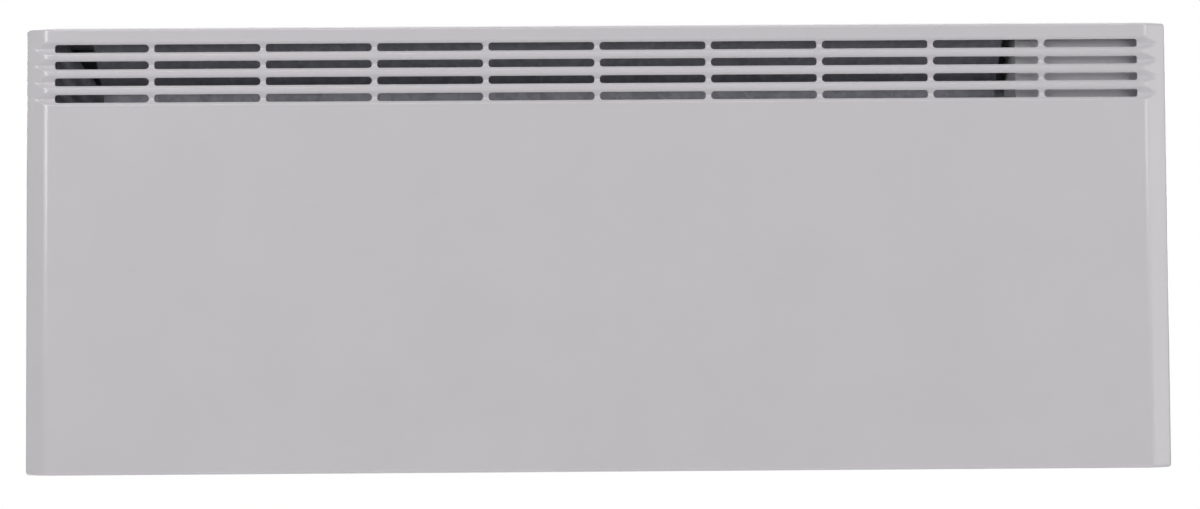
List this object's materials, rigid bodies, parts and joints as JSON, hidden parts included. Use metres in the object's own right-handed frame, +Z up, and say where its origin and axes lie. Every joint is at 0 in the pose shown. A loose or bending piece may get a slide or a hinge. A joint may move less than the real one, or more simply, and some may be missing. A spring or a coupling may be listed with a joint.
{
  "type": "wall panel convector heater",
  "caption": "Flat wall convector heater: folded steel casing with pressed outlet slots along the top, finned element, side controls, lifts off a wall rail",
  "frame": {"origin": "middle of the wall rail's back face, on the wall", "axes": "+X right as seen from the room, +Y into the wall, +Z up; the front faces -Y"},
  "size_m": [1.026, 0.086, 0.4],
  "materials": {
    "painted_steel": "light grey stoved powder coat, satin, on folded sheet steel",
    "galvanised_steel": "hot-dip galvanised sheet, matt grey with a faint spangle",
    "shield_steel": "aluminised sheet dulled by heat",
    "zinc_plate": "bright zinc plating",
    "aluminium": "extruded, unpolished",
    "blackened_steel": "oxidised steel sheath",
    "ceramic": "unglazed steatite",
    "light_plastic": "moulded, light grey, fine texture",
    "dark_plastic": "moulded, near black",
    "grey_plastic": "moulded, mid grey",
    "lens": "clear amber moulding",
    "brass": "plain brass",
    "brown_insulation": "silicone insulation",
    "blue_insulation": "silicone insulation",
    "earth_insulation": "silicone insulation"
  },
  "bodies": {
    "rail": {"wall_rail": "zinc_plate", "wall_hook_left": "zinc_plate", "wall_hook_right": "zinc_plate"},
    "heater": {"front_panel": "painted_steel", "rear_panel": "galvanised_steel", "element_bracket_left": "galvanised_steel", "element_bracket_right": "galvanised_steel", "heat_shield": "shield_steel", "deflector_cheek": "shield_steel", "casing_screw_1": "zinc_plate", "casing_screw_2": "zinc_plate", "casing_screw_3": "zinc_plate", "casing_screw_4": "zinc_plate", "casing_screw_5": "zinc_plate", "casing_screw_6": "zinc_plate", "casing_screw_7": "zinc_plate", "casing_screw_8": "zinc_plate", "housing_screw_1": "zinc_plate", "housing_screw_2": "zinc_plate", "terminal_pin_left": "zinc_plate", "terminal_pin_right": "zinc_plate", "earth_stud": "zinc_plate", "element_fins": "aluminium", "shield_rivet_1": "aluminium", "shield_rivet_2": "aluminium", "shield_rivet_3": "aluminium", "shield_rivet_4": "aluminium", "bracket_rivet_left_1": "aluminium", "bracket_rivet_left_2": "aluminium", "bracket_rivet_right_1": "aluminium", "bracket_rivet_right_2": "aluminium", "heating_rod": "blackened_steel", "rod_bush_left": "ceramic", "rod_bush_right": "ceramic", "terminal_block": "ceramic", "control_housing": "light_plastic", "control_fascia": "light_plastic", "thermal_cutout": "dark_plastic", "thermostat_body": "dark_plastic", "switch_body": "dark_plastic", "cable_gland": "dark_plastic", "spacer_foot_left": "grey_plastic", "spacer_foot_right": "grey_plastic", "lead_clip_1": "grey_plastic", "lead_clip_2": "grey_plastic", "lead_clip_3": "grey_plastic", "indicator_lens": "lens", "earth_nut": "brass", "supply_lead": "brown_insulation", "switch_lead": "brown_insulation", "heating_lead": "brown_insulation", "element_lead": "brown_insulation", "neutral_lead": "blue_insulation", "earth_lead": "earth_insulation"},
    "knob": {"thermostat_knob": "light_plastic", "thermostat_shaft": "zinc_plate"},
    "rocker": {"switch_rocker": "dark_plastic"}
  },
  "joints": [
    {"name": "lift_off", "type": "slide", "parent": "rail", "child": "heater", "axis": [0, 0, 1], "range_m": [0, 0.012]},
    {"name": "thermostat_turn", "type": "hinge", "parent": "heater", "child": "knob", "pos_m": [0.506, -0.05065, 0.0389], "axis": [-1, 0, 0], "range_deg": [0, 270]},
    {"name": "switch_tilt", "type": "hinge", "parent": "heater", "child": "rocker", "pos_m": [0.5086, -0.05065, -0.0191], "axis": [0, 1, 0], "range_deg": [0, 16]}
  ]
}
